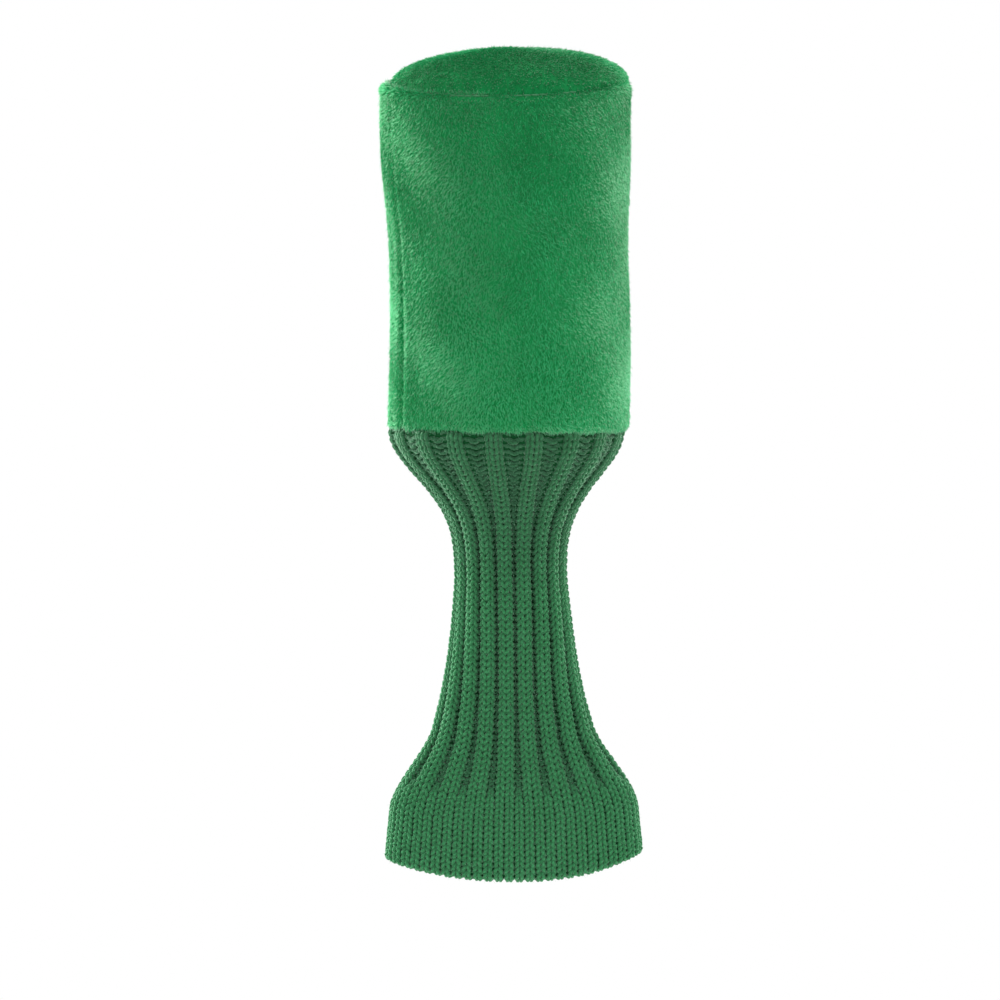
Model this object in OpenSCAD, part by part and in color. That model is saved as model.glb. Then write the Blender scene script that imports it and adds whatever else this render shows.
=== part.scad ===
// Driver head cover: a padded plush barrel on a ribbed knitted sock with a turned-up cuff.
// Millimetres, +Z up. The origin is where the top of the club head meets the crown lining.
// The front faces -Y. The barrel stands over the head and the sock hangs down the shaft.

/* [Barrel] */
// Outer diameter of the barrel at the crown seam
crown_d = 124.5; // [116:0.5:132]
// Outer diameter of the barrel at its foot, by the neck seam
foot_d = 119.5; // [112:0.5:124]
// Height of the barrel, neck seam to the top of the crown
barrel_h = 191; // [160:1:220]
// Rise of the domed crown above its seam
crown_rise = 14; // [9:1:18]
// Angle of the barrel's side seam from the front, towards the left side
side_seam_deg = 64; // [30:1:120]

/* [Cloth] */
// Thickness of the plush, backing and pile
plush_t = 4; // [3:0.5:5]
// Thickness of the wadding under the plush
wadding_t = 6; // [4:0.5:7]
// Thickness of the lining cloth
lining_t = 1; // [0.8:0.1:1.5]
// Thickness of the knitted fabric
knit_t = 3.2; // [2.4:0.2:4]
// Ease between one layer and the next
ease = 0.3; // [0.2:0.1:0.5]
// Diameter of the plush seams' sewing thread
thread_d = 0.8; // [0.5:0.1:1]
// Diameter of the lining seams' sewing thread
fine_thread_d = 0.5; // [0.4:0.1:0.6]
// Length of one stitch of the seams
stitch_pitch = 4; // [3.5:0.5:6]

/* [Sock] */
// Outer diameter of the sock at the neck seam
sock_top_d = 118; // [108:0.2:118]
// Outer diameter at the waist, the narrowest place
waist_d = 57; // [50:0.2:66]
// Depth of the waist below the neck seam
waist_depth = 75; // [70:1:80]
// Length of the sock, neck seam to the hem fold at the front
sock_len = 225; // [215:1:235]
// Width across the hem
hem_w = 130.6; // [120:0.2:136]
// Front-to-back depth at the hem
hem_depth = 44; // [38:1:60]
// How far the hem rises at its two sides
hem_lift = 11.5; // [6:0.5:16]
// Height of the plain knitted cuff
cuff_h = 43; // [38:1:46]
// Number of wales, the knit's columns of stitches, round the sock
wales = 54; // [48:3:60]

/* [Bending] */
// Height of the firm rings of knit between the stretches that bend
ring_h = 6; // [4:1:8]
// Depth of the throat ring below the neck seam
throat_depth = 46; // [44:1:48]
// Depth of the waist ring below the neck seam
waist_ring_depth = 102; // [100:1:104]
// Depth of the top of the skirt below the neck seam
skirt_depth = 158; // [156:1:160]

/* [Hidden] */

plush_green = "#2a8f4f";
knit_green = "#14663a";
thread_green = "#0f5a30";
wadding_white = "#e6e4dc";
lining_grey = "#3f4a44";

// Heights from the head's seat: the crown's layers above it, the seams below
crown_t = lining_t + wadding_t + plush_t + 2 * ease;
top_z = crown_t;
crown_seam_z = top_z - crown_rise;
neck_z = top_z - barrel_h;

// Outer radius of the barrel's wall at height z: the wall tapers evenly to its foot
crown_r = crown_d / 2;
foot_r = foot_d / 2;
function wall_r(z) = foot_r + (crown_r - foot_r) * (z - neck_z) / (crown_seam_z - neck_z);

// How far each layer's outer face lies inside the barrel's outer face
wadding_in = plush_t + ease;
lining_in = wadding_in + wadding_t + ease;
pocket_in = lining_in + lining_t;

// Height of the crown's upright rim in the plush and wadding, and of the lining's shorter one
rim_h = 4;
lining_rim_h = 1;
dome_rise = crown_rise - rim_h;
lining_seam_z = top_z - lining_in - dome_rise - lining_rim_h - ease;

// The sock's turned-in top band, between the plush and the lining, and where the padding stops
collar_h = 10;
padding_foot_z = neck_z + collar_h + ease;
collar_r = foot_r - plush_t - 2 * ease;

// Seams: the slit between a panel's two edges, and how deep a stitch holds each edge
slit = 0.4;
bite = 2.5;
lining_bite = 1.2;

// Shape of the sock between its driving diameters
shoulder_ease = 1.65;
slow_share = 0.13;
slow_end = 0.49;
slow_power = 2.9;
flare_share = 0.50;
flare_start = 0.48;
flare_len = 0.33;
hem_squareness = 0.3;
around = 40;
fold_steps = 6;
layer_gap = 0.4;

function ramp(t) =
  let (u = min(max(t, 0), 1))
  u * u * (3 - 2 * u);

// Share of the way that the sock has narrowed, from the neck seam to the waist, at depth d
function narrowed(d) =
  let (t = min(max(d, 0) / waist_depth, 1))
  (1 - cos(180 * (1 - pow(1 - t, shoulder_ease)))) / 2;

// Share of the length from the waist to the hem, at depth d
function below_waist(d) = max(d - waist_depth, 0) / (sock_len - waist_depth);

// Share of the way that the sock has widened again: a slow start, the skirt's flare, and a
// slight spread down the cuff
function widened(d) =
  let (t = below_waist(d))
  slow_share * pow(min(t / slow_end, 1), slow_power)
  + flare_share * ramp((t - flare_start) / flare_len)
  + (1 - slow_share - flare_share) * t;

// Half the sock's width and half its front-to-back depth at depth d
function half_w(d) =
  waist_d / 2 + (sock_top_d - waist_d) / 2 * (1 - narrowed(d)) + (hem_w - waist_d) / 2 * widened(d);
function half_d(d) =
  waist_d / 2 + (sock_top_d - waist_d) / 2 * (1 - narrowed(d))
  + (hem_depth - waist_d) / 2 * ramp(below_waist(d) / slow_end);

// Each wale is about as long as the next, so the flared sides end higher than the front
function side_lift(d) = hem_lift * pow(below_waist(d), 2);

// A point of the knit at depth d, at an inset from its outer face, at angle a round the sock.
// The outline is a circle down to the waist, and flattens to a squarer oval at the hem.
function knit_point(d, inset, a) =
  let (power = 2 / (2 + hem_squareness * below_waist(d)))
  [
    (half_w(d) - inset) * sign(cos(a)) * pow(abs(cos(a)), power),
    (half_d(d) - inset) * sign(sin(a)) * pow(abs(sin(a)), power),
    neck_z - d + side_lift(d) * pow(cos(a), 2)
  ];

// Carries a closed profile of [depth, inset] pairs round the sock
module knit_ring(profile) {
  n = len(profile);
  points = [
    for (p = profile)
    for (i = [0:around - 1])
    knit_point(p[0], p[1], i * 360 / around)
  ];
  faces = [
    for (k = [0:n - 1])
    for (i = [0:around - 1])
    let (
      j = (i + 1) % around,
      next = (k + 1) % n,
      a = k * around + i,
      b = k * around + j,
      c = next * around + j,
      e = next * around + i
    )
    each [[a, b, c], [a, c, e]]
  ];
  polyhedron(points = points, faces = faces, convexity = 6);
}

// A stretch of the sock's wall from one depth to another, in equal steps
module sleeve(from, to, steps) {
  outer = [for (k = [0:steps]) [from + (to - from) * k / steps, 0]];
  inner = [for (k = [steps:-1:0]) [from + (to - from) * k / steps, knit_t]];
  color(knit_green) knit_ring(concat(outer, inner));
}

// A tapered tube of the barrel's wall between two heights and two insets, slit at its seam
module wall_tube(top, bottom, outer_in, inner_in) {
  difference() {
    rotate_extrude($fn = 96) polygon([
      [wall_r(top) - outer_in, top],
      [wall_r(top) - inner_in, top],
      [wall_r(bottom) - inner_in, bottom],
      [wall_r(bottom) - outer_in, bottom]
    ]);
    rotate([0, 0, 270 - side_seam_deg])
      translate([foot_r / 2, -slit / 2, bottom - 1])
        cube([foot_r, slit, top - bottom + 2]);
  }
}

// A domed cap: a short upright rim, and a shallow part of a sphere over it
module cap(inset, rim) {
  r = crown_r - inset;
  sphere_r = (pow(r, 2) + pow(dome_rise, 2)) / (2 * dome_rise);
  intersection() {
    translate([0, 0, top_z - inset - sphere_r])
      sphere(r = sphere_r, $fn = 160);
    translate([0, 0, top_z - inset - dome_rise - rim])
      cylinder(r = r, h = dome_rise + rim + 1, $fn = 96);
  }
}

// One layer of the crown, between two insets from the crown's outer face
module crown_layer(inset, thickness, rim) {
  difference() {
    cap(inset, rim);
    cap(inset + thickness, rim);
    translate([0, 0, top_z - inset - thickness - dome_rise - rim - 1])
      cylinder(r = crown_r - inset - thickness, h = thickness + 1.5, $fn = 96);
  }
}

// A stitch as a straight pin of thread, its middle at a point, along the local Z axis
module stitch(length, thread) {
  cylinder(d = thread, h = length, center = true, $fn = 16);
}

// Stitches that stand upright across a round seam
module crown_stitches(r, z, hold, thread) {
  count = floor(2 * PI * r / stitch_pitch);
  for (i = [0:count - 1])
    rotate([0, 0, (i + 0.5) * 360 / count])
      translate([r, 0, z])
        stitch(2 * hold, thread);
}

// Stitches that lie level across a panel's upright slit, following the wall's taper
module slit_stitches(top, bottom, inset, hold, thread) {
  count = floor((top - bottom) / stitch_pitch);
  for (i = [0:count - 1])
    let (z = top - (i + 0.5) * (top - bottom) / count)
    rotate([0, 0, 270 - side_seam_deg])
      translate([wall_r(z) - inset, 0, z])
        rotate([90, 0, 0])
          stitch(2 * hold, thread);
}

module crown_panel() {
  color(plush_green)
    crown_layer(0, plush_t, rim_h);
}

module side_panel() {
  color(plush_green)
    wall_tube(crown_seam_z - ease, neck_z, 0, plush_t);
}

module crown_wadding() {
  color(wadding_white)
    crown_layer(wadding_in, wadding_t, rim_h);
}

module side_wadding() {
  color(wadding_white)
    wall_tube(crown_seam_z - wadding_in - ease, padding_foot_z, wadding_in, wadding_in + wadding_t);
}

module crown_lining() {
  color(lining_grey)
    crown_layer(lining_in, lining_t, lining_rim_h);
}

module side_lining() {
  color(lining_grey)
    wall_tube(lining_seam_z, neck_z, lining_in, pocket_in);
}

module crown_seam_thread() {
  color(thread_green)
    crown_stitches(crown_r - plush_t / 2, crown_seam_z - ease / 2, bite, thread_d);
}

module side_seam_thread() {
  color(thread_green)
    slit_stitches(crown_seam_z - bite - 3, padding_foot_z, plush_t / 2, bite, thread_d);
}

module crown_lining_thread() {
  color(lining_grey)
    crown_stitches(wall_r(lining_seam_z) - lining_in - lining_t / 2, lining_seam_z, lining_bite,
      fine_thread_d);
}

module side_lining_thread() {
  color(lining_grey)
    slit_stitches(lining_seam_z - 3, neck_z + 3, lining_in + lining_t / 2, lining_bite,
      fine_thread_d);
}

// Stitches through the plush and the sock's collar, level and pointing outwards
module neck_seam_thread() {
  r = foot_r - plush_t;
  count = floor(2 * PI * r / stitch_pitch);
  color(thread_green)
    for (i = [0:count - 1])
      rotate([0, 0, (i + 0.5) * 360 / count])
        translate([r, 0, neck_z + collar_h / 2])
          rotate([0, 90, 0])
            stitch(2 * bite, thread_d);
}

// The top of the sock, turned in and caught in the neck seam
module sock_collar() {
  color(knit_green)
    translate([0, 0, neck_z])
      difference() {
        cylinder(r = collar_r, h = collar_h, $fn = 96);
        translate([0, 0, -1])
          cylinder(r = collar_r - knit_t, h = collar_h + 2, $fn = 96);
      }
}

module sock_shoulder() {
  sleeve(ease, throat_depth - ease, 8);
}

module sock_throat() {
  sleeve(throat_depth, throat_depth + ring_h, 1);
}

module sock_upper_neck() {
  sleeve(throat_depth + ring_h + ease, waist_ring_depth - ease, 5);
}

module sock_waist() {
  sleeve(waist_ring_depth, waist_ring_depth + ring_h, 1);
}

module sock_lower_neck() {
  sleeve(waist_ring_depth + ring_h + ease, skirt_depth - ease, 6);
}

module sock_skirt() {
  sleeve(skirt_depth, sock_len - cuff_h, 4);
}

// The cuff is one fabric folded up inside itself: outer layer, fold at the hem, inner layer
module cuff() {
  top = sock_len - cuff_h + ease;
  fold_r = knit_t + layer_gap / 2;
  fold_d = sock_len - fold_r;
  inner_top = top + knit_t;
  outer_face = [for (k = [0:2]) [top + (fold_d - top) * k / 3, 0]];
  fold = [
    for (k = [0:fold_steps])
    let (a = 180 * k / fold_steps)
    [fold_d + fold_r * sin(a), fold_r * (1 - cos(a))]
  ];
  inner_face = [[inner_top, 2 * fold_r], [inner_top, knit_t + layer_gap]];
  between_layers = [[fold_d, knit_t + layer_gap], [fold_d, knit_t], [top, knit_t]];
  color(knit_green) knit_ring(concat(outer_face, fold, inner_face, between_layers));
}

// One stitch to each wale links the inner layer's edge to the outer layer
module cuff_hem_thread() {
  d = sock_len - cuff_h + 2 * knit_t;
  color(thread_green)
    for (i = [0:wales - 1])
      let (
        a = (i + 0.5) * 360 / wales,
        inner = knit_point(d, 1.5 * knit_t + layer_gap, a),
        outer = knit_point(d, knit_t / 2, a),
        out = outer - inner
      )
      translate((inner + outer) / 2)
        rotate([0, acos(out[2] / norm(out)), atan2(out[1], out[0])])
          stitch(norm(out), thread_d);
}

crown_panel();
side_panel();
crown_wadding();
side_wadding();
crown_lining();
side_lining();
crown_seam_thread();
side_seam_thread();
crown_lining_thread();
side_lining_thread();
neck_seam_thread();
sock_collar();
sock_shoulder();
sock_throat();
sock_upper_neck();
sock_waist();
sock_lower_neck();
sock_skirt();
cuff();
cuff_hem_thread();
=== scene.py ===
"""Driver head cover: a padded plush barrel with a domed crown on a ribbed knitted sock.

The lengths in this script are in millimetres, as in the part's own design, and mesh_piece() turns
them to metres. The sock is worked stitch by stitch: every course is one closed loop of yarn.
"""

import bpy
import numpy as np
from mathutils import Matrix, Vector


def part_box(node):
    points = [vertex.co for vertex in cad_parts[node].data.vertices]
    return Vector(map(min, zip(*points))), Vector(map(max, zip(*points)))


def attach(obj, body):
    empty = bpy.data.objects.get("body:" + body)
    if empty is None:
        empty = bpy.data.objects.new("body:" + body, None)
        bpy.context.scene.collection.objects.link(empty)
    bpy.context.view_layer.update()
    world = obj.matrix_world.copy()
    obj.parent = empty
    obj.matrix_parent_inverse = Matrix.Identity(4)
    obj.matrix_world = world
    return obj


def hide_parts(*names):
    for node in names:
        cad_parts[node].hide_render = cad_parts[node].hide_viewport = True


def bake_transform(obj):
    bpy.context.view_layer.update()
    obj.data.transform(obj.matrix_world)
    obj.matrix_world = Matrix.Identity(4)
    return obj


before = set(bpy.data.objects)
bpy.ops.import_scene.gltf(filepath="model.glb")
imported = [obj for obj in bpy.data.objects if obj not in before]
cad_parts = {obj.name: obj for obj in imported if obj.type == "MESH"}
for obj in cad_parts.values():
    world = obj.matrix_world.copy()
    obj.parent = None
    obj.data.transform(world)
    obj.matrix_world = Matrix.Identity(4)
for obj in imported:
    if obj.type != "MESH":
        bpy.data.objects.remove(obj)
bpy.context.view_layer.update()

# ------------------------------------------------------------------ sizes, in millimetres
MM = 0.001


def corners(node_name):
    """The lowest and highest corner of a CAD node, in millimetres."""
    lo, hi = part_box(node_name)
    return np.array(lo) / MM, np.array(hi) / MM


TOP_Z = corners("crown_panel")[1][2]
CROWN_R = corners("side_panel")[1][0]
NECK_Z = corners("side_panel")[0][2]
COLLAR_R = corners("sock_collar")[1][0]
COLLAR_H = 10
COLLAR_ROWS = 14
PLUSH_T = 4
FOOT_R = COLLAR_R + PLUSH_T + 0.6
WADDING_IN = 4.6
WADDING_T = 5.6
LINING_IN = 10.7
LINING_T = 0.6
LINING_TOP_DROP = 11.5
FRONT = np.radians(270)

# The barrel as sewn: the crown's seam sags at the front and is level at the back, and the barrel
# leans a little to the left
SEAM_DROP = 16.6
SEAM_RISE_RIGHT = 1.3
SEAM_SAG_FRONT = 8.8
CROWN_EDGE_R = 58.4
CROWN_TOP_DROP = 1.3
SWELL_FROM = 88
SWELL_OVER = 52
SEAM_PARTINGS = ((-0.30, 0.16), (0.20, 0.13), (0.56, 0.07))
SIDE_SEAM_ANGLE = np.radians(206)
SIDE_SEAM_LEAN = 0.025
SEAM_STITCH_GAP = 4

# The pile
PILE_LENGTH = 3.0
PILE_LEAN = 1.2
PILE_ROOT = 0.4
PILE_BANDS = 3
PILE_ACROSS = 440
PILE_UP = 100
CROWN_TUFTS = 26000
CROWN_EDGE_TUFTS = 3500

# The sock's shape, with the same formulas as the CAD sock
SOCK_TOP_R = 59.0
WAIST_R = 28.3
WAIST_DEPTH = 75
SOCK_LEN = 225
HEM_HALF_W = 65.3
HEM_HALF_D = 22
HEM_LIFT = 10.3
HEM_LIFT_RIGHT = 1.8
HEM_SQUARENESS = 0.3
SHOULDER_EASE = 1.65
NECK_SHARE = 0.13
FLARE_SHARE = 0.50
SPREAD_SHARE = 0.37
CUFF_TOP = 182
THROAT_MID = 49
WAIST_RING_MID = 105
SKIRT_TOP = 161

# The knitting
WALES = 54
RIBS = 18
COURSE_PITCH = 3.3
CUFF_PITCH = 3.0
YARN_R = 0.87
YARN_AT = ([0, 25, 60, 160, 185], [1.25, 1.12, 1.0, 1.0, 1.06])
LOOP_DEPTH = 1.15
REACH_AT = ([0, 40, 70, 160, 185], [0.76, 0.80, 0.80, 0.82, 0.90])
SWING_AT = ([0, 25, 60, 160, 185], [0.18, 0.24, 0.315, 0.29, 0.22])
LEG_PULL = 0.03
DRAWN_IN = 0.25
BRIDGE_LIFT = 0.8
FURROW_POWER = 2.4
GROUND_IN = 0.2
GROUND_T = 0.5
MID_INSET = 2.0
FOLD_R = 2.0
CLOTH_STEP = 0.8
CLOTH_COLS = WALES * 8
STEPS_PER_STITCH = 14
CROSSING_STEPS = 8
FIBRES_PER_MM2 = 0.25
YARN_SIDES = 6
FURROW_SHARE = 0.01
RIB_END = 12
# Strength of the painted shade that darkens the yarn near the neck seam, under the barrel's overhang
TOP_PAINTED_SHADE = 1.5

rng = np.random.default_rng(7)


def ramp(t):
    """0 up to t = 0, 1 from t = 1, and a smooth step between them."""
    u = np.clip(t, 0, 1)
    return u * u * (3 - 2 * u)


def unit(v):
    """Vectors scaled to length 1."""
    return v / np.maximum(np.linalg.norm(v, axis=-1, keepdims=True), 1e-9)


def turn_from(angle, other):
    """The turn from another angle to this one, from minus half a turn to half a turn."""
    return (angle - other + np.pi) % (2 * np.pi) - np.pi


def radial(angle):
    """Level directions away from the middle, at angles round it."""
    return np.stack([np.cos(angle), np.sin(angle), 0 * angle], -1)


def tangent(angle):
    """Level directions round the middle, at angles round it."""
    return np.stack([-np.sin(angle), np.cos(angle), 0 * angle], -1)


# ------------------------------------------------------------------ meshes
def grid_faces(rows, cols, close_rows=False):
    """Four-sided faces of a grid that closes round its columns, and round its rows if asked."""
    i = np.arange(rows if close_rows else rows - 1)[:, None]
    j = np.arange(cols)[None, :]
    i2, j2 = (i + 1) % rows, (j + 1) % cols
    quads = [i * cols + j, i2 * cols + j, i2 * cols + j2, i * cols + j2]
    return np.stack(np.broadcast_arrays(*quads), -1).reshape(-1, 4)


def repeated(faces, count, stride):
    """The same faces for count copies of a shape, whose points follow each other by stride."""
    return (faces[None] + (np.arange(count) * stride)[:, None, None]).reshape(-1, faces.shape[1])


def mesh_piece(name, points, faces, material, attributes=None, uv=None):
    """Makes a smooth-shaded mesh from points in millimetres and a list of face arrays."""
    points = np.asarray(points, float).reshape(-1, 3) * MM
    loops = np.concatenate([f.ravel() for f in faces])
    sizes = np.concatenate([np.full(len(f), f.shape[1]) for f in faces])
    mesh = bpy.data.meshes.new(name)
    mesh.vertices.add(len(points))
    mesh.vertices.foreach_set("co", points.astype(np.float32).ravel())
    mesh.loops.add(len(loops))
    mesh.loops.foreach_set("vertex_index", loops.astype(np.int32))
    mesh.polygons.add(len(sizes))
    mesh.polygons.foreach_set("loop_start", (np.cumsum(sizes) - sizes).astype(np.int32))
    mesh.polygons.foreach_set("use_smooth", np.ones(len(sizes), bool))
    for key, values in (attributes or {}).items():
        layer = mesh.attributes.new(key, "FLOAT", "POINT")
        layer.data.foreach_set("value", np.asarray(values, np.float32).ravel())
    if uv is not None:
        mesh.uv_layers.new(name="along_round").uv.foreach_set("vector", uv.astype(np.float32).ravel())
    mesh.update(calc_edges=True)
    mesh.validate()
    mesh.materials.append(material)
    piece = bpy.data.objects.new(name, mesh)
    bpy.context.scene.collection.objects.link(piece)
    return piece


def lookup(grid, row, share):
    """A grid's value at a fractional row and at a share of the way round, between its four neighbours."""
    rows, cols = grid.shape[:2]
    row = np.clip(row, 0, rows - 1.001)
    col = (share % 1) * cols
    i, j = np.floor(row).astype(int), np.floor(col).astype(int) % cols
    fi, fj = (row - i)[..., None], (col - np.floor(col))[..., None]
    j2 = (j + 1) % cols
    upper = grid[i, j] * (1 - fj) + grid[i, j2] * fj
    lower = grid[i + 1, j] * (1 - fj) + grid[i + 1, j2] * fj
    return upper * (1 - fi) + lower * fi


def outward(grid):
    """Each grid point's outward direction: across its own row and column directions."""
    down = np.gradient(grid, axis=0)
    round_it = np.roll(grid, -1, 1) - np.roll(grid, 1, 1)
    return unit(np.cross(down, round_it))


def stitches(name, middles, along, out, length, thread_d, material, bow=0.3):
    """Short stitches: each is a capsule of thread that bows outwards in the middle.
    middles, along and out are arrays of points and directions, one row for each stitch."""
    along, out = unit(along), unit(out)
    across = np.cross(along, out)
    stations = np.array([-0.5, -0.42, -0.2, 0.2, 0.42, 0.5])
    girth = np.array([0.0, 0.8, 1.0, 1.0, 0.8, 0.0]) * thread_d / 2
    lift = bow * np.cos(np.pi * stations) ** 0.5 * length / 4
    turn = np.arange(6) * np.pi / 3
    centre = middles[:, None] + (stations * length)[:, None] * along[:, None] + lift[:, None] * out[:, None]
    ring = np.cos(turn)[:, None] * across[:, None, None] + np.sin(turn)[:, None] * out[:, None, None]
    points = centre[:, :, None] + girth[:, None, None] * ring
    body = points[:, 1:5].reshape(len(middles), 24, 3)
    ends = centre[:, [0, 5]]
    j = np.arange(6)
    j2 = (j + 1) % 6
    start_cap = np.stack([np.full(6, 24), j, j2], 1)
    end_cap = np.stack([18 + j, np.full(6, 25), 18 + j2], 1)
    sides = grid_faces(4, 6)
    faces = [repeated(f, len(middles), 26) for f in (sides, start_cap, end_cap)]
    return mesh_piece(name, np.concatenate([body, ends], 1), faces, material)


# ------------------------------------------------------------------ materials
def linear(hex_colour):
    """An sRGB hex colour as linear red, green, blue and alpha."""
    parts = np.array([int(hex_colour[i:i + 2], 16) / 255 for i in (1, 3, 5)])
    bright = ((parts + 0.055) / 1.055) ** 2.4
    return [*np.where(parts <= 0.04045, parts / 12.92, bright), 1]


def node(tree, kind, inputs=None, **settings):
    """Adds a node, sets it up, and fills each input with a value or with another node's output."""
    made = tree.nodes.new(kind)
    for key, value in settings.items():
        setattr(made, key, value)
    for key, value in (inputs or {}).items():
        if isinstance(value, bpy.types.NodeSocket):
            tree.links.new(value, made.inputs[key])
        else:
            made.inputs[key].default_value = value
    return made


def colour_steps(tree, factor, steps):
    """A colour ramp through (place, hex colour) steps."""
    made = node(tree, "ShaderNodeValToRGB", {0: factor})
    ramp_elements = made.color_ramp.elements
    while len(ramp_elements) < len(steps):
        ramp_elements.new(0.5)
    for element, (place, colour) in zip(ramp_elements, steps):
        element.position = place
        element.color = linear(colour)
    return made.outputs["Color"]


def mixed(tree, factor, first, second, how="MIX"):
    """Two colours mixed by a factor."""
    made = node(tree, "ShaderNodeMix", {0: factor, 6: first, 7: second}, data_type="RGBA", blend_type=how)
    return made.outputs[2]


def noise(tree, where, size_mm, detail=2.0):
    """Soft noise whose lumps are about size_mm across, on coordinates in metres."""
    made = node(tree, "ShaderNodeTexNoise", {"Vector": where, "Scale": 1 / (size_mm * MM), "Detail": detail})
    return made.outputs["Fac"]


def new_material(name):
    """A material with its tree, its object coordinates and its output's surface socket."""
    material = bpy.data.materials.new(name)
    material.use_nodes = True
    tree = material.node_tree
    tree.nodes.clear()
    where = node(tree, "ShaderNodeTexCoord").outputs["Object"]
    return material, tree, where


def finish_surface(tree, inputs):
    """A Principled surface on the material's output."""
    shader = node(tree, "ShaderNodeBsdfPrincipled", inputs)
    node(tree, "ShaderNodeOutputMaterial", {"Surface": shader.outputs[0]})


def plush_backing():
    """Cut-pile polyester plush, the dense mass of the pile between its tufts: deep green and dull, with
    random lighter and darker patches, a painted sheen and shade where the nap lies another way."""
    material, tree, where = new_material("polyester_plush_ground")
    patches = noise(tree, where, 22, 1.0)
    grain = noise(tree, where, 1.6, 3.0)
    # Painted sheen and shade: random patches where the nap lies another way are lighter or darker
    deep = colour_steps(tree, patches, [(0.3, "#096632"), (0.7, "#0f783d")])
    light = colour_steps(tree, patches, [(0.3, "#11793f"), (0.7, "#19884a")])
    green = mixed(tree, grain, deep, light)
    bump = node(tree, "ShaderNodeBump", {"Height": grain, "Strength": 0.6, "Distance": 0.6 * MM})
    finish_surface(tree, {
        "Base Color": green, "Roughness": 0.95, "Specular IOR Level": 0.1, "Sheen Weight": 0.4,
        "Sheen Roughness": 0.45, "Sheen Tint": linear("#8fe0ac"), "Normal": bump.outputs[0]})
    return material


def plush_pile():
    """Cut-pile polyester plush, the tufts: lighter towards the tip and darker at the root, a painted shade
    deep in the pile, with a sheen that gives the pale, soft edge. Their shade attribute carries painted light
    and shade as well as random tone."""
    material, tree, where = new_material("polyester_plush_pile")
    tip = node(tree, "ShaderNodeAttribute", attribute_name="tip").outputs["Fac"]
    shade = node(tree, "ShaderNodeAttribute", attribute_name="shade").outputs["Fac"]
    patches = noise(tree, where, 26, 1.0)
    # Painted shade: each tuft is darker at its root, deep in the pile
    root = colour_steps(tree, shade, [(0.0, "#086633"), (1.0, "#1ea15c")])
    end = colour_steps(tree, shade, [(0.0, "#078a4a"), (0.5, "#2cbe72"), (1.0, "#5bda99")])
    strand = mixed(tree, tip, root, end)
    # Painted shade: random patches a little darker, where the nap lies another way
    green = mixed(tree, patches, strand, mixed(tree, 1.0, strand, linear("#c9ddcf"), "MULTIPLY"))
    finish_surface(tree, {
        "Base Color": green, "Roughness": 0.85, "Specular IOR Level": 0.12, "Sheen Weight": 0.42,
        "Sheen Roughness": 0.4, "Sheen Tint": linear("#dcefdf")})
    return material


def knit_yarn():
    """Soft-spun acrylic knitting yarn, two plies: dull dark green, with the twist showing as fine slanting
    grooves that are painted darker as shade. Where it stands proud it is lighter, partly a light bloom of
    loose fibre and partly painted light, and where it lies deep it is painted darker as shade."""
    material, tree, where = new_material("acrylic_knitting_yarn")
    uv = node(tree, "ShaderNodeUVMap", uv_map="along_round").outputs[0]
    plies = node(tree, "ShaderNodeTexWave", {
        "Vector": uv, "Scale": 0.35, "Distortion": 1.5, "Detail": 1.0, "Detail Scale": 2.0},
        wave_type="BANDS", bands_direction="DIAGONAL")
    proud = node(tree, "ShaderNodeAttribute", attribute_name="proud").outputs["Fac"]
    fibre = noise(tree, where, 0.7, 2.0)
    heather = noise(tree, where, 9, 2.0)
    # Painted light and shade: the yarn is darker where it lies deep and lighter where it stands proud
    base = colour_steps(tree, proud, [(0.0, "#062c14"), (0.45, "#0d4a25"), (1.0, "#166b39")])
    # Painted shade: the grooves between the plies are darker
    grooved = mixed(tree, plies.outputs["Fac"], mixed(tree, 1.0, base, linear("#a2c4ae"), "MULTIPLY"), base)
    lit = mixed(tree, fibre, grooved, mixed(tree, 0.35, grooved, linear("#78c294")))
    green = mixed(tree, heather, lit, mixed(tree, 1.0, lit, linear("#cfe0d4"), "MULTIPLY"))
    height = node(tree, "ShaderNodeMath", {0: plies.outputs["Fac"], 1: fibre}, operation="ADD")
    bump = node(tree, "ShaderNodeBump", {"Height": height.outputs[0], "Strength": 0.7, "Distance": 0.25 * MM})
    finish_surface(tree, {
        "Base Color": green, "Roughness": 0.9, "Specular IOR Level": 0.1, "Sheen Weight": 0.32,
        "Sheen Roughness": 0.36, "Sheen Tint": linear("#c4e8cd"), "Normal": bump.outputs[0]})
    return material


def loose_fibre():
    """The yarn's loose acrylic fibres: pale green and dull, a faint bloom against the light."""
    material, tree, where = new_material("acrylic_loose_fibre")
    tone = colour_steps(tree, noise(tree, where, 3, 1.0), [(0.3, "#2f8352"), (0.7, "#6ab88a")])
    finish_surface(tree, {
        "Base Color": tone, "Roughness": 0.9, "Specular IOR Level": 0.1, "Sheen Weight": 0.6,
        "Sheen Roughness": 0.5, "Sheen Tint": linear("#e4f4e8")})
    return material


def knit_ground():
    """The matted inner fibre of the knit, seen only between the loops: very dark green and dull, and painted
    darker still as shade where it lies deep in the furrows.
    """
    material, tree, where = new_material("acrylic_knit_ground")
    fibre = noise(tree, where, 1.2, 3.0)
    proud = node(tree, "ShaderNodeAttribute", attribute_name="proud").outputs["Fac"]
    # Painted shade: the ground is darker where it lies deep in the furrows
    deep = colour_steps(tree, proud, [(0.0, "#072712"), (0.5, "#0f4b27")])
    green = mixed(tree, fibre, deep, mixed(tree, 1.0, deep, linear("#b5cdbd"), "MULTIPLY"))
    bump = node(tree, "ShaderNodeBump", {"Height": fibre, "Strength": 0.8, "Distance": 0.4 * MM})
    finish_surface(tree, {
        "Base Color": green, "Roughness": 1.0, "Specular IOR Level": 0.1, "Normal": bump.outputs[0]})
    return material


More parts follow.
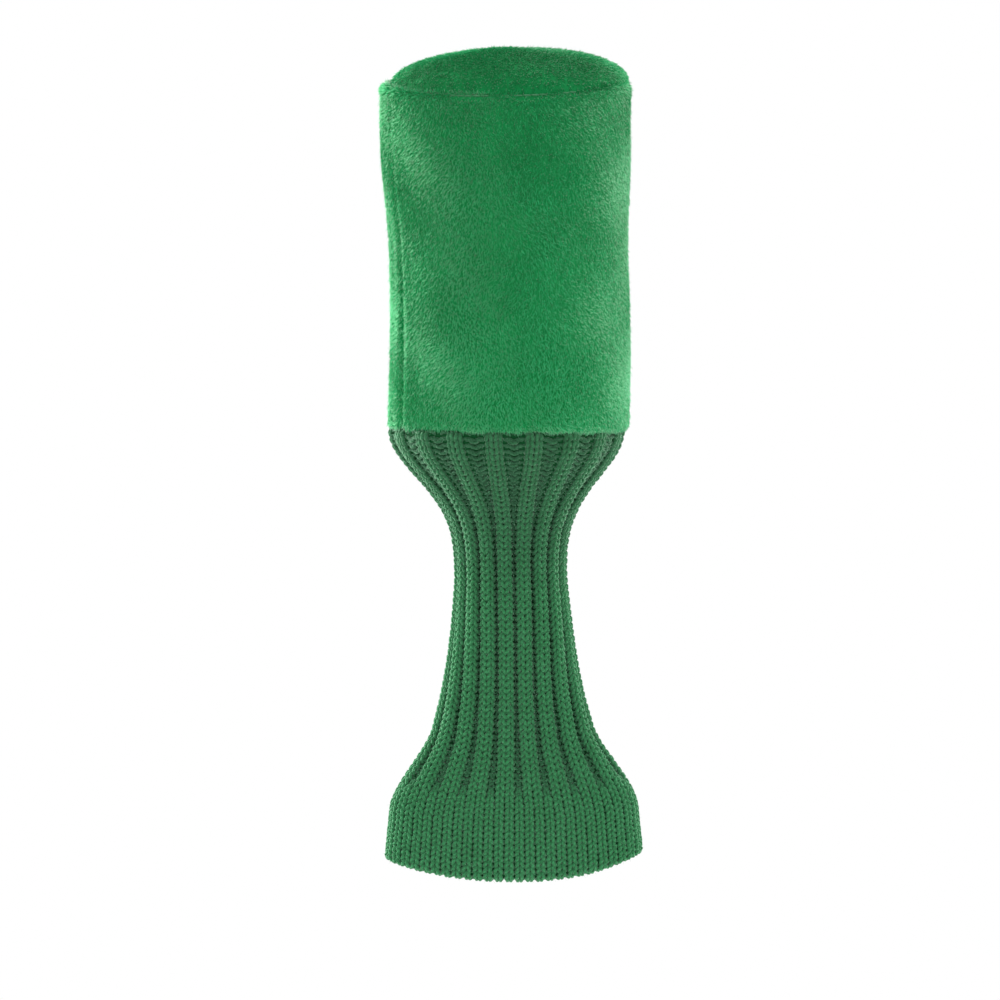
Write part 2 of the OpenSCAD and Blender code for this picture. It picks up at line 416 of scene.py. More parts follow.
def sewing_thread(name, colour):
    """Spun polyester sewing thread: a slight gloss broken by its fine twist, with patches of a lighter green
    along the twist as a painted highlight.
    """
    material, tree, where = new_material(name)
    twist = noise(tree, where, 0.4, 1.0)
    # Painted highlight: patches along the twist turn a lighter green
    shade = colour_steps(tree, twist, [(0.3, colour), (0.75, "#3f8a5c")])
    bump = node(tree, "ShaderNodeBump", {"Height": twist, "Strength": 0.5, "Distance": 0.1 * MM})
    finish_surface(tree, {
        "Base Color": shade, "Roughness": 0.55, "Sheen Weight": 0.2, "Sheen Tint": linear("#d8eadd"),
        "Normal": bump.outputs[0]})
    return material


def lining_cloth():
    """Brushed polyester tricot lining: dark grey, smooth, with fine ribs 1.2 mm apart whose grooves are
    painted darker as shade.
    """
    material, tree, where = new_material("polyester_tricot_lining")
    ribs = node(tree, "ShaderNodeTexWave", {
        "Vector": where, "Scale": 2 * np.pi / (20 * 1.2 * MM), "Distortion": 0.4, "Detail": 1.0},
        wave_type="BANDS", bands_direction="Z")
    cloud = noise(tree, where, 14, 2.0)
    grey = colour_steps(tree, cloud, [(0.3, "#39433d"), (0.7, "#4a564f")])
    # Painted shade: the grooves between the ribs are darker
    lit = mixed(tree, ribs.outputs["Fac"], mixed(tree, 1.0, grey, linear("#c8d0cb"), "MULTIPLY"), grey)
    bump = node(tree, "ShaderNodeBump", {
        "Height": ribs.outputs["Fac"], "Strength": 0.4, "Distance": 0.2 * MM})
    finish_surface(tree, {
        "Base Color": lit, "Roughness": 0.6, "Sheen Weight": 0.35, "Sheen Tint": linear("#dfe6e2"),
        "Normal": bump.outputs[0]})
    return material


def wadding_fleece():
    """Bonded polyester wadding: off-white, matt, with the fluffy clumps of loose fibre."""
    material, tree, where = new_material("polyester_wadding")
    clumps = noise(tree, where, 5, 6.0)
    white = colour_steps(tree, clumps, [(0.3, "#d2cfc4"), (0.7, "#f1efe8")])
    bump = node(tree, "ShaderNodeBump", {"Height": clumps, "Strength": 0.9, "Distance": 1.0 * MM})
    finish_surface(tree, {
        "Base Color": white, "Roughness": 1.0, "Sheen Weight": 0.4, "Normal": bump.outputs[0]})
    return material


PLUSH = plush_backing()
PILE = plush_pile()
YARN = knit_yarn()
GROUND = knit_ground()
FUZZ = loose_fibre()
GREEN_THREAD = sewing_thread("polyester_thread_green", "#1c6a3a")
GREY_THREAD = sewing_thread("polyester_thread_grey", "#3d4a43")
LINING = lining_cloth()
WADDING = wadding_fleece()


# ------------------------------------------------------------------ the barrel
def crown_seam_z(angle):
    """Height of the crown's seam round the barrel: it sags at the front, and is level at the back."""
    c, s = np.cos(angle), np.sin(angle)
    sag = SEAM_SAG_FRONT * (np.sqrt(s ** 2 + 0.04) - s) / 2
    return TOP_Z - SEAM_DROP + SEAM_RISE_RIGHT * c - sag


def parted(angle):
    """1 at the three places of the front seam where the pile has parted, and 0 elsewhere."""
    off = turn_from(angle, FRONT)
    return sum(np.exp(-((off - middle) / half) ** 4) for middle, half in SEAM_PARTINGS)


def wall_radius(z):
    """The barrel's radius: even at the foot, and swelling to the head from half its height up."""
    return FOOT_R + 0.2 + (CROWN_R - FOOT_R - 0.2) * ramp((z - NECK_Z - SWELL_FROM) / SWELL_OVER)


def lean_x(z):
    """How far the barrel's middle lies to the side at height z: it leans to the left."""
    return -0.8 - 1.9 * ramp((z - NECK_Z - 60) / 100)


def slack(angle, z):
    """Slight unevenness of the padded wall: a few long waves, and the dip of the side seam between
    two full lips. The dip is deep at the foot, and the pile closes over it higher up."""
    waves = (0.45 * np.sin(2 * angle + z / 37 + 0.8) + 0.3 * np.sin(5 * angle - z / 21 + 2.1)
             + 0.22 * np.sin(9 * angle + z / 13))
    height = (z - NECK_Z) / (TOP_Z - NECK_Z)
    seam_at = SIDE_SEAM_ANGLE + SIDE_SEAM_LEAN * np.sin(z / 30)
    arc = turn_from(angle, seam_at) * FOOT_R
    strength = 1 - 0.75 * ramp((height - 0.25) / 0.5)
    dip = -2.2 * strength * np.exp(-(arc / 1.7) ** 2)
    lips = 0.9 * strength * np.exp(-((np.abs(arc) - 5) / 3.2) ** 2)
    return waves + dip + lips


def barrel_point(inset, z, angle):
    """A point of the barrel's wall: its radius less an inset, with the slack, round the leaning axis."""
    radius = wall_radius(z) + slack(angle, z) - inset
    return np.stack([radius * np.cos(angle) + lean_x(z), radius * np.sin(angle), z + 0 * angle], -1)


BARREL_COLS = 240
CROWN_ROWS = 44
PAD_ROWS = 26
barrel_angles = np.arange(BARREL_COLS) * 2 * np.pi / BARREL_COLS


def side_outer_rows():
    """Inset and height of the side panel's outer face, for each row and angle: up the inside of the
    crown's groove, over the top edge in a quarter round, down the wall, and a quarter round in at
    the foot. The top edge is sharper on the left, where it stands up as a small ear."""
    angle = barrel_angles[None, :]
    seam = crown_seam_z(angle)
    edge = 4.4 + 1.4 * np.cos(angle)
    foot = 4.6
    skin = 0.7
    groove_w = 0.8
    groove_depth = 4.2
    groove = np.linspace(0, 1, 4, endpoint=False)[:, None]
    in_groove = np.broadcast_to(edge + groove_w - groove_w * groove, (4, BARREL_COLS))
    z_groove = seam - groove_depth + groove_depth * groove
    turn = np.linspace(0, np.pi / 2, 8)[:, None]
    in_edge = edge * (1 - np.sin(turn))
    z_edge = seam - edge * (1 - np.cos(turn))
    share = np.linspace(0, 1, 112)[1:-1][:, None]
    z_wall = (seam - edge) * (1 - share) + (NECK_Z + foot) * share
    in_foot = np.broadcast_to(foot * (1 - np.cos(turn)), (8, BARREL_COLS))
    z_foot = np.broadcast_to(NECK_Z + foot * (1 - np.sin(turn)), (8, BARREL_COLS))
    insets = np.concatenate([in_groove, in_edge, 0 * z_wall, in_foot])
    heights = np.concatenate([z_groove, z_edge, z_wall, z_foot])
    return insets + skin, heights


def crown_outer(share, angle):
    """A point of the crown's outer face: share 0 is the middle and 1 the seam. It is nearly half an
    ellipse, so the dome is flat on top and rolls over steeply at its edge."""
    height = (1 - share ** 2.25) ** 0.54
    seam = crown_seam_z(angle)
    radius = CROWN_EDGE_R * share
    lumps = 0.5 * np.sin(3 * angle + 1) * share * (1 - share) * 4 + 0.25 * np.sin(7 * angle) * share ** 4
    x = radius * np.cos(angle) - 0.9 + 1.4 * height
    y = radius * np.sin(angle)
    return np.stack(np.broadcast_arrays(x, y, seam + (TOP_Z - CROWN_TOP_DROP - seam) * height + lumps), -1)


def capped_faces(rows, cols):
    """Faces of a closed form made of rings, with a single point before the first and after the last."""
    j = np.arange(cols)
    j2 = (j + 1) % cols
    last = (rows - 1) * cols
    start = np.stack([np.full(cols, rows * cols), j, j2], 1)
    end = np.stack([last + j, np.full(cols, rows * cols + 1), last + j2], 1)
    return [grid_faces(rows, cols), start, end]


def crown_shell(name, outer, inner, material):
    """A closed cap from the grids of its outer and inner faces, each with its middle as row 0."""
    rings = np.concatenate([outer[1:], inner[:0:-1]])
    points = np.concatenate([rings.reshape(-1, 3), outer[0, :1], inner[0, :1]])
    return mesh_piece(name, points, capped_faces(len(rings), rings.shape[1]), material)


def crown_grid(inset, rows):
    """A grid of the crown's face at an inset, from its middle to its seam."""
    share = np.sin(np.linspace(0, np.pi / 2, rows))[:, None]
    face = crown_outer(share, barrel_angles[None, :])
    return face - inset * outward_of_crown(face)


def outward_of_crown(face):
    """Outward directions of a crown grid. Its middle row is one point, which looks straight up."""
    out = outward(face)
    out[0] = (0, 0, 1)
    return out


def spikes(name, root, axis, normal, size, width, material, attributes=None):
    """Closed three-sided spikes: from each root, one of the given size runs along its axis."""
    first = unit(np.cross(axis, normal))
    second = np.cross(axis, first)
    corner = np.arange(3) * 2 * np.pi / 3
    foot = root[:, None] + width[:, None, None] * (
        np.cos(corner)[:, None] * first[:, None] + np.sin(corner)[:, None] * second[:, None])
    tip = (root + size[:, None] * axis)[:, None]
    points = np.concatenate([foot, tip], 1)
    faces = repeated(np.array([[0, 2, 1], [0, 1, 3], [1, 2, 3], [2, 0, 3]]), len(root), 4)
    return mesh_piece(name, points, [faces], material, attributes)


def tufts(name, grid, out, nap, row, share, shade):
    """Tufts of pile at the given rows and shares of a surface's grid: each is a closed three-sided
    spike. It leans from the outward direction towards the nap, which swirls a little from place to
    place. Its mean brightness, shade, runs from 0 to 1."""
    n = len(row)
    root = lookup(grid, row, share)
    normal = unit(lookup(out, row, share))
    flow = lookup(nap, row, share)
    flow = unit(flow - np.sum(flow * normal, -1, keepdims=True) * normal)
    side = np.cross(normal, flow)
    swirl = 0.3 * np.sin(root[:, 0] / 9 + root[:, 2] / 14) + 0.25 * np.sin(root[:, 2] / 8 - root[:, 1] / 11)
    turn = swirl + rng.normal(0, 0.5, n)
    lean = PILE_LEAN + rng.normal(0, 0.16, n)
    heading = np.cos(turn)[:, None] * flow + np.sin(turn)[:, None] * side
    axis = np.cos(lean)[:, None] * normal + np.sin(lean)[:, None] * heading
    size = PILE_LENGTH * (0.75 + 0.5 * rng.random(n))
    width = 0.28 + 0.16 * rng.random(n)
    own_shade = np.repeat(np.clip(rng.normal(shade, 0.2, n), 0, 1), 4)
    looks = {"tip": np.tile([0, 0, 0, 1], n), "shade": own_shade}
    piece = spikes(name, root - PILE_ROOT * normal, axis, normal, size, width, PILE, looks)
    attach(piece, "barrel")


def wall_shell(name, inset, thickness, z_top, z_foot, rows, material):
    """A closed layer of the barrel's wall between two insets. Its top edge follows the crown's seam."""
    share = np.linspace(0, 1, rows)[:, None]
    angle = barrel_angles[None, :]
    z = (crown_seam_z(angle) + z_top) * (1 - share) + z_foot * share
    outer = barrel_point(inset, z, angle)
    inner = barrel_point(inset + thickness, z, angle)[::-1]
    rings = np.concatenate([outer, inner])
    return mesh_piece(name, rings, [grid_faces(len(rings), BARREL_COLS, True)], material)


def on_barrel(piece, stands_for):
    """Puts a piece on the barrel in place of a CAD node, and hides that node."""
    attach(piece, "barrel")
    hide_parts(stands_for)


def make_padding():
    """The wadding under the plush: a tube in the wall and a dome in the crown."""
    wall = wall_shell("side_wadding_pad", WADDING_IN, WADDING_T, -8, NECK_Z + COLLAR_H + 0.5, 40, WADDING)
    dome = crown_shell("crown_wadding_pad", crown_grid(WADDING_IN, PAD_ROWS),
                       crown_grid(WADDING_IN + WADDING_T, PAD_ROWS), WADDING)
    for piece, stands_for in ((wall, "side_wadding"), (dome, "crown_wadding")):
        on_barrel(piece, stands_for)


def make_lining():
    """The smooth pocket: a tube of lining cloth sewn to a disc of it."""
    wall = wall_shell("side_lining_cloth", LINING_IN, LINING_T, -LINING_TOP_DROP, NECK_Z + 1, 60, LINING)
    disc = crown_shell("crown_lining_cloth", crown_grid(LINING_IN, PAD_ROWS),
                       crown_grid(LINING_IN + LINING_T, PAD_ROWS), LINING)
    for piece, stands_for in ((wall, "side_lining"), (disc, "crown_lining")):
        on_barrel(piece, stands_for)


def round_stitches(name, inset, height, count, length, thread_d, material, level=False, surfacing=False):
    """Stitches round a seam of the barrel: upright across it, or level and pointing outwards. Where
    the pile has parted, surfacing ones lie along the seam in its mouth."""
    angle = (np.arange(count) + 0.5) * 2 * np.pi / count
    middles = barrel_point(inset, height(angle), angle)
    away = radial(angle)
    up = np.zeros((count, 3)) + [0, 0, 1]
    along, out = (away, up) if level else (up + 0.25 * rng.normal(0, 1, (count, 3)), away)
    if surfacing:
        shows = parted(angle)[:, None] > 0.5
        middles = np.where(shows, barrel_point(2.2, crown_seam_z(angle) - 0.7, angle), middles)
        along = np.where(shows, tangent(angle), along)
    return stitches(name, middles, along, out, length, thread_d, material)


def seam_stitches(name, inset, z_top, z_foot, length, thread_d, material):
    """Nearly level stitches up the side seam, one every SEAM_STITCH_GAP."""
    count = int((z_top - z_foot) / SEAM_STITCH_GAP)
    z = np.linspace(z_foot, z_top, count)
    angle = SIDE_SEAM_ANGLE + SIDE_SEAM_LEAN * np.sin(z / 30)
    middles = barrel_point(inset, z, angle)
    return stitches(name, middles, tangent(angle) + [0, 0, 0.12], radial(angle), length, thread_d, material)


def make_barrel_threads():
    """The thread of each seam of the barrel."""
    lining_top = TOP_Z - SEAM_DROP - 11
    crown_seam = round_stitches("crown_seam_stitches", 5.0, lambda a: crown_seam_z(a) - 2.4, 92, 4.0, 0.7,
                                GREEN_THREAD, surfacing=True)
    neck = round_stitches("neck_seam_stitches", PLUSH_T, lambda a: NECK_Z + COLLAR_H / 2 + 0 * a, 87, 5.0,
                          0.8, GREEN_THREAD, level=True)
    side = seam_stitches("side_seam_stitches", 1.4, lining_top, NECK_Z + COLLAR_H, 5.0, 0.8, GREEN_THREAD)
    pocket = round_stitches("crown_lining_stitches", LINING_IN + 0.4, lambda a: crown_seam_z(a) - 11, 100,
                            2.6, 0.5, GREY_THREAD)
    pocket_side = seam_stitches("side_lining_stitches", LINING_IN + 0.2, lining_top - 8, NECK_Z + 4, 2.6,
                                0.5, GREY_THREAD)
    for piece, stands_for, finish in (
            (crown_seam, "crown_seam_thread", "thread_green"), (neck, "neck_seam_thread", "thread_green"),
            (side, "side_seam_thread", "thread_green"), (pocket, "crown_lining_thread", "lining_grey"),
            (pocket_side, "side_lining_thread", "lining_grey")):
        on_barrel(piece, stands_for)


def make_barrel():
    """The plush panels, their pile, the padding, the lining and the threads, all on the barrel."""
    insets, heights = side_outer_rows()
    outer = barrel_point(insets, heights, barrel_angles[None, :])
    inner_share = np.linspace(0, 1, 14)[:, None]
    z_inner = heights[-1] * (1 - inner_share) + heights[0] * inner_share
    inner_inset = PLUSH_T - 0.3 + inner_share * 0.6
    inner = barrel_point(inner_inset + 0 * z_inner, z_inner, barrel_angles[None, :])
    rings = np.concatenate([outer, inner])
    side = mesh_piece("side_panel_plush", rings, [grid_faces(len(rings), BARREL_COLS, True)], PLUSH)
    crown_face = crown_grid(0, CROWN_ROWS)
    edge_out = unit(outward(crown_face)[-1:] * [1, 1, 0])
    rolled = [crown_face[-1:] - drop * np.array([0, 0, 1]) - inset * edge_out
              for inset, drop in ((0.3, 1.1), (1.1, 2.1), (2.3, 2.6))]
    crown_top = np.concatenate([crown_face, *rolled])
    crown_under = crown_grid(PLUSH_T - 0.6, 24)
    crown = crown_shell("crown_panel_plush", crown_top, crown_under, PLUSH)
    for piece, stands_for in ((side, "side_panel"), (crown, "crown_panel")):
        on_barrel(piece, stands_for)

    make_padding()
    make_lining()
    make_barrel_threads()
    make_pile(outer, crown_top)


def make_pile(wall, dome):
    """The pile of both plush panels. On the wall it lies down and towards the foot, on a jittered
    grid. On the dome it falls forwards, even over the area by the square root of a random share."""
    down = np.gradient(wall, axis=0)
    out = outward(wall)
    jittered = (PILE_UP, PILE_ACROSS)
    for k in range(PILE_BANDS):
        i = (np.arange(PILE_UP)[:, None] + rng.random(jittered)) / PILE_UP
        share = ((np.arange(PILE_ACROSS)[None, :] + rng.random(jittered)) / PILE_ACROSS).ravel()
        row = (k + i.ravel()) / PILE_BANDS * (len(wall) - 1)
        shown = rng.random(len(row)) > 0.8 * parted(share * 2 * np.pi) * (row > 5) * (row < 9)
        # Painted light and shade: the wall's tufts are darker near its top and lighter towards its foot
        shade = 0.3 + 0.4 * row[shown] / len(wall)
        tufts("side_pile_" + str(k + 1), wall, out, down, row[shown], share[shown], shade)
    forwards = np.array([0.15, -1.0, -0.3]) + 0.8 * unit(dome * [1, 1, 0])
    face_row = np.arcsin(np.sqrt(rng.random(CROWN_TUFTS)) * 0.9999) / (np.pi / 2) * (CROWN_ROWS - 1)
    edge_row = CROWN_ROWS - 1 + (len(dome) - CROWN_ROWS) * rng.random(CROWN_EDGE_TUFTS)
    row = np.concatenate([face_row, edge_row])
    share = rng.random(len(row))
    shown = rng.random(len(row)) > parted(share * 2 * np.pi) * (row > CROWN_ROWS - 4)
    # Painted shade: the dome's tufts are darker on its front slope and lighter towards its top
    painted_front_shade = ramp((-lookup(dome, row, share)[:, 1] - 6) / 26)
    shade = (0.7 - 0.62 * painted_front_shade)[shown]
    tufts("crown_pile", dome, outward_of_crown(dome), forwards, row[shown], share[shown], shade)


# ------------------------------------------------------------------ the sock's shape
def below_waist(d):
    """Share of the length from the waist to the hem, at depth d below the neck seam."""
    return np.maximum(d - WAIST_DEPTH, 0) / (SOCK_LEN - WAIST_DEPTH)


def narrowed(d):
    """Share of the way that the sock has narrowed from the neck seam to the waist."""
    t = np.clip(d / WAIST_DEPTH, 0, 1)
    return (1 - np.cos(np.pi * (1 - (1 - t) ** SHOULDER_EASE))) / 2


def widened(d):
    """Share of the way that it has widened again: a slow start, the skirt's flare, the cuff's spread."""
    t = below_waist(d)
    return (NECK_SHARE * np.minimum(t / 0.49, 1) ** 2.9 + FLARE_SHARE * ramp((t - 0.48) / 0.33)
            + SPREAD_SHARE * t)


def half_width(d):
    """Half the sock's width at depth d."""
    return WAIST_R + (SOCK_TOP_R - WAIST_R) * (1 - narrowed(d)) + (HEM_HALF_W - WAIST_R) * widened(d)


def half_depth(d):
    """Half the sock's front-to-back depth at depth d."""
    flat = (HEM_HALF_D - WAIST_R) * ramp(below_waist(d) / 0.45)
    return WAIST_R + (SOCK_TOP_R - WAIST_R) * (1 - narrowed(d)) + flat


def middle_x(d):
    """How far the sock's middle lies to the side: it starts under the leaning barrel and hangs a
    little to the right."""
    return -2.2 + 1.8 * ramp(d / 50) + 0.9 * ramp((d - 50) / 60) + 0.9 * ramp((d - 100) / 100)


def knit_point(d, inset, angle):
    """A point of the sock: a circle down to the waist that flattens to a squarer oval at the hem,
    whose flared sides end higher than its front, the right one most."""
    power = 2 / (2 + HEM_SQUARENESS * below_waist(d))
    c, s = np.cos(angle), np.sin(angle)
    x = (half_width(d) - inset) * np.sign(c) * np.abs(c) ** power + middle_x(d)
    y = (half_depth(d) - inset) * np.sign(s) * np.abs(s) ** power
    z = NECK_Z - d + (HEM_LIFT + HEM_LIFT_RIGHT * c) * below_waist(d) ** 2 * c ** 2
    return np.stack(np.broadcast_arrays(x, y, z), -1)


def sock_path():
    """The middle of the cloth as depths and insets, every CLOTH_STEP along it: down the outer layer,
    half a turn round the hem, and up the turned-up inner layer."""
    fold_at = SOCK_LEN - YARN_R - LOOP_DEPTH - FOLD_R
    turn = np.linspace(0, np.pi, 13)[1:-1]
    down = np.linspace(-4, fold_at, 300)
    up = np.linspace(fold_at, CUFF_TOP + 3, 60)
    depth = np.concatenate([down, fold_at + FOLD_R * np.sin(turn), up])
    inset = np.concatenate([0 * down, FOLD_R * (1 - np.cos(turn)), 0 * up + 2 * FOLD_R]) + MID_INSET
    radius = (half_width(depth) + half_depth(depth)) / 2 - inset
    length = np.concatenate([[0], np.cumsum(np.hypot(np.diff(depth), np.diff(radius)))])
    even = np.arange(0, length[-1], CLOTH_STEP)
    return np.interp(even, length, depth), np.interp(even, length, inset)


def cloth_grid(depth, inset):
    """The sock's middle surface: one row for each place on its path, and columns spaced evenly by
    their distance round it, from the front."""
    angle = FRONT + np.linspace(0, 2 * np.pi, 1441)
    outline = knit_point(depth[:, None], inset[:, None], angle[None, :])
    steps = np.linalg.norm(np.diff(outline, axis=1), axis=2)
    run = np.concatenate([np.zeros((len(depth), 1)), np.cumsum(steps, 1)], 1)
    share = np.arange(CLOTH_COLS) / CLOTH_COLS
    even = np.array([np.interp(share, row / row[-1], angle) for row in run])
    return knit_point(depth[:, None], inset[:, None], even)


def depth_at(rows, depths):
    """Depth below the neck seam at fractional rows of the cloth grid."""
    return np.interp(rows, np.arange(len(depths)), depths)


def ribbed(d):
    """1 in the ribbed sock, fading to 0 at the plain cuff."""
    return ramp((CUFF_TOP - d) / RIB_END)


def purl_share(d):
    """Share of a rib's width that its purl wale takes: wide where the sock is stretched over the
    barrel's foot, closed up at the neck, and an even third in the plain cuff."""
    return np.interp(d, [0, 14, 30, 42, 60, 120, 160, 176, 185],
                     [0.50, 0.43, 0.26, 0.13, 0.07, 0.06, 0.12, 0.24, 0.333])


def furrow_depth(d):
    """How deep the purl wale lies below the knit ones: nothing in the plain cuff."""
    return np.interp(d, [0, 20, 60, 150, 176, 184], [0.7, 1.5, 3.9, 3.5, 2.0, 0.0])


def from_furrow(c):
    """Distance in wales from the nearest purl wale's middle, from 0 to 1.5."""
    return np.abs((c - 0.5 + 1.5) % 3 - 1.5)


def relief(c, d):
    """How far the cloth stands in or out across a rib: a narrow furrow between rounded ribs."""
    return -furrow_depth(d) * (0.5 + 0.5 * np.cos(np.pi * from_furrow(c) / 1.5)) ** FURROW_POWER


def place_round(c, d):
    """Share of the way round at wale coordinate c: purl wales take their share of each rib, and the
    two knit wales beside each other are drawn together."""
    q = purl_share(d)
    rib = np.floor(c / 3)
    x = c - 3 * rib
    v = x - 2
    drawn = v * (1 - DRAWN_IN * ribbed(d) * (1 - v ** 2))
    p = np.where(x < 1, x * q, q + (1 + drawn) * (1 - q) / 2)
    return FURROW_SHARE + (rib + p - q / 2) / RIBS


def faces_front(phase, d):
    """1 in a knit wale, -1 in a purl wale, and smooth between them. The cuff is all knit wales."""
    purl = 1 - ramp((from_furrow(phase) - 0.3) / 0.4)
    plain = ramp((d - CUFF_TOP + 5) / 4)
    return 1 - 2 * purl * (1 - plain)


def lift_with_painted_shade(lift, d):
    """How proud yarn at a lift looks at depth d, less a painted shade that darkens it near the neck seam,
    under the barrel's overhang.
    """
    shade_under_barrel = np.interp(d, [0, 45, 85], [1.3, 1.1, 0.0])
    return lift - TOP_PAINTED_SHADE * shade_under_barrel


def knit(name, cloth, depths, rows):
    """Courses of knitting at the given rows of a cloth grid. Each course is a closed yarn whose
    stitches go, for t from 0 to a full turn: round by t plus a swing of sin 2t, along the cloth by
    minus cos t, so that the loops' heads point to the hem, and outwards by minus cos 2t, so that
    the legs lie in front in a knit wale and behind in a purl wale."""
    out = outward(cloth)
    phase = np.arange(WALES * STEPS_PER_STITCH)[None, :] / STEPS_PER_STITCH
    turn = 2 * np.pi * phase
    count = len(rows)
    d = depth_at(rows, depths)[:, None]
    between = np.sin(turn / 2) ** 2
    jitter = np.repeat(rng.normal(0, 1, (4, count, WALES)), STEPS_PER_STITCH, axis=2) * between
    pitch = np.where(d > CUFF_TOP, CUFF_PITCH, COURSE_PITCH)
    reach = np.interp(d, *REACH_AT) * pitch * (1 + 0.05 * jitter[0])
    beside_furrow = ramp((np.abs(phase % 3 - 2) - 0.35) / 0.4) * ribbed(d)
    swing = np.interp(d, *SWING_AT) * (1 - 0.35 * beside_furrow)
    c = phase + swing * np.sin(2 * turn) + LEG_PULL * np.sin(turn) + 0.03 * jitter[1]
    row = rows[:, None] + (-reach * np.cos(turn) + 0.15 * jitter[2]) / CLOTH_STEP
    share = place_round(c, d)
    sign = faces_front(phase, d)
    between_knit = np.exp(-((phase % 3 - 2) / 0.22) ** 2) * ribbed(d)
    lift = (relief(c, d) - sign * LOOP_DEPTH * np.cos(2 * turn) + BRIDGE_LIFT * between_knit
            + 0.12 * jitter[3])
    normal = lookup(out, row, share)
    centre = lookup(cloth, row, share) + lift[..., None] * normal
    radius = YARN_R * np.interp(d, *YARN_AT) * (1 + 0.04 * jitter[0] - 0.14 * np.cos(2 * turn))
    # The yarn's colour takes a painted shade near the neck seam
    return yarn_tube(name, centre, unit(normal), radius, lift_with_painted_shade(lift, d))


def yarn_tube(name, centre, normal, radius, lift):
    """Closed tubes of yarn along rows of centre points, with how proud each point stands as an attribute and
    the distance along and round the yarn as its UV map. The yarn's colour uses that attribute as painted
    shade, so the side of each tube that faces in is darker."""
    count, steps = centre.shape[:2]
    ahead = unit(np.roll(centre, -1, 1) - np.roll(centre, 1, 1))
    across = unit(np.cross(ahead, normal))
    normal = np.cross(across, ahead)
    ring_turn = np.arange(YARN_SIDES) * 2 * np.pi / YARN_SIDES
    ring = np.cos(ring_turn)[:, None] * across[:, :, None] + np.sin(ring_turn)[:, None] * normal[:, :, None]
    points = centre[:, :, None] + radius[..., None, None] * ring
    faces = repeated(grid_faces(steps, YARN_SIDES, True), count, steps * YARN_SIDES)
    # Painted shade: the inward side of each tube counts as less proud, and so is coloured darker
    proud = (lift[:, :, None] + radius[..., None] * np.sin(ring_turn)) / 4 + 0.5
    gap = np.linalg.norm(np.roll(centre, -1, 1) - centre, axis=2)
    run = np.concatenate([np.zeros((count, 1)), np.cumsum(gap, 1)], 1)
    side = np.arange(YARN_SIDES) / YARN_SIDES
    u0, u1 = run[:, :-1, None] + 0 * side, run[:, 1:, None] + 0 * side
    v0 = np.broadcast_to(side * 3, u0.shape)
    v1 = v0 + 3 / YARN_SIDES
    uv = np.stack([u0, v0, u1, v0, u1, v1, u0, v1], -1)
    return mesh_piece(name, points, [faces], YARN, {"proud": np.clip(proud, 0, 1)}, uv)


def crossing_yarn(name, cloth, depths, rows):
    """The lengths of yarn that cross behind the courses. They show in the purl wales where those are
    stretched open, as bars that curve the other way from the courses' own, and hide elsewhere."""
    out = outward(cloth)
    phase = np.arange(WALES * CROSSING_STEPS)[None, :] / CROSSING_STEPS
    d = depth_at(rows, depths)[:, None]
    row = rows[:, None] + 0.55 * np.cos(4 * np.pi * phase) / CLOTH_STEP + rng.normal(0, 0.1, (len(rows), 1))
    share = place_round(phase, d)
    lift = relief(phase, d) + 0.4 - 2.4 * ramp((from_furrow(phase) - 0.3) / 0.4)
    normal = lookup(out, row, share)
    centre = lookup(cloth, row, share) + lift[..., None] * normal
    # These bars take the same painted shade near the neck seam
    return yarn_tube(name, centre, unit(normal), np.full(lift.shape, YARN_R), lift_with_painted_shade(lift, d))


def ground(name, cloth, depths, row_from, row_to):
    """The closed thin layer of matted fibre behind the loops, with the ribs' relief, which its colour follows
    as painted shade: darker in the furrows.
    """
    rows = np.arange(row_from, row_to + 0.01, 2.0)[:, None]
    c = np.arange(0, WALES, 1 / 3)[None, :]
    d = depth_at(rows, depths)
    share = place_round(c, d)
    face = lookup(cloth, rows + 0 * share, share)
    out = unit(lookup(outward(cloth), rows + 0 * share, share))
    rise = (relief(c, d) + np.interp(d, [0, 30, 60], [0.5, 0.3, 0]))[..., None]
    front = face + (rise - GROUND_IN) * out
    back = face + (rise - GROUND_IN - GROUND_T) * out
    rings = np.concatenate([front, back[::-1]])
    # Painted shade: the colour follows the relief, darker in the furrows
    proud = np.clip(np.concatenate([rise, rise[::-1]]) / 4 + 0.5, 0, 1)
    faces = grid_faces(len(rings), rings.shape[1], True)
    return mesh_piece(name, rings, [faces], GROUND, {"proud": proud})


def loose_fibres(name, cloth, depths, row_from, row_to, count):
    """Loose fibres of the yarn: fine spikes that stand out from the loops every way."""
    row = rng.uniform(row_from, row_to, count)
    d = depth_at(row, depths)
    c = rng.uniform(0, WALES, count)
    share = place_round(c, d)
    normal = unit(lookup(outward(cloth), row, share))
    axis = unit(normal + 0.7 * rng.normal(0, 1, (count, 3)))
    root = lookup(cloth, row, share) + (relief(c, d) + 0.6)[:, None] * normal
    size = rng.uniform(1.6, 3.4, count)
    width = rng.uniform(0.05, 0.09, count)
    return spikes(name, root, axis, normal, size, width, FUZZ)


def stretch_size(cloth, row_from, row_to):
    """Mean distance round a stretch of the cloth, and its length along its path, in metres."""
    part = cloth[int(row_from):int(row_to)]
    round_it = np.linalg.norm(np.diff(part, axis=1, append=part[:, :1]), axis=2).sum(1).mean()
    return round_it * MM, (row_to - row_from) * CLOTH_STEP * MM


def course_rows(depths):
    """Rows of the cloth grid on which the courses lie: COURSE_PITCH apart, and CUFF_PITCH in the cuff."""
    rows = [5.5 / CLOTH_STEP]
    while rows[-1] < len(depths) - 3:
        plain = depths[int(rows[-1])] > CUFF_TOP
        rows.append(rows[-1] + (CUFF_PITCH if plain else COURSE_PITCH) / CLOTH_STEP)
    return np.array(rows[:-1])


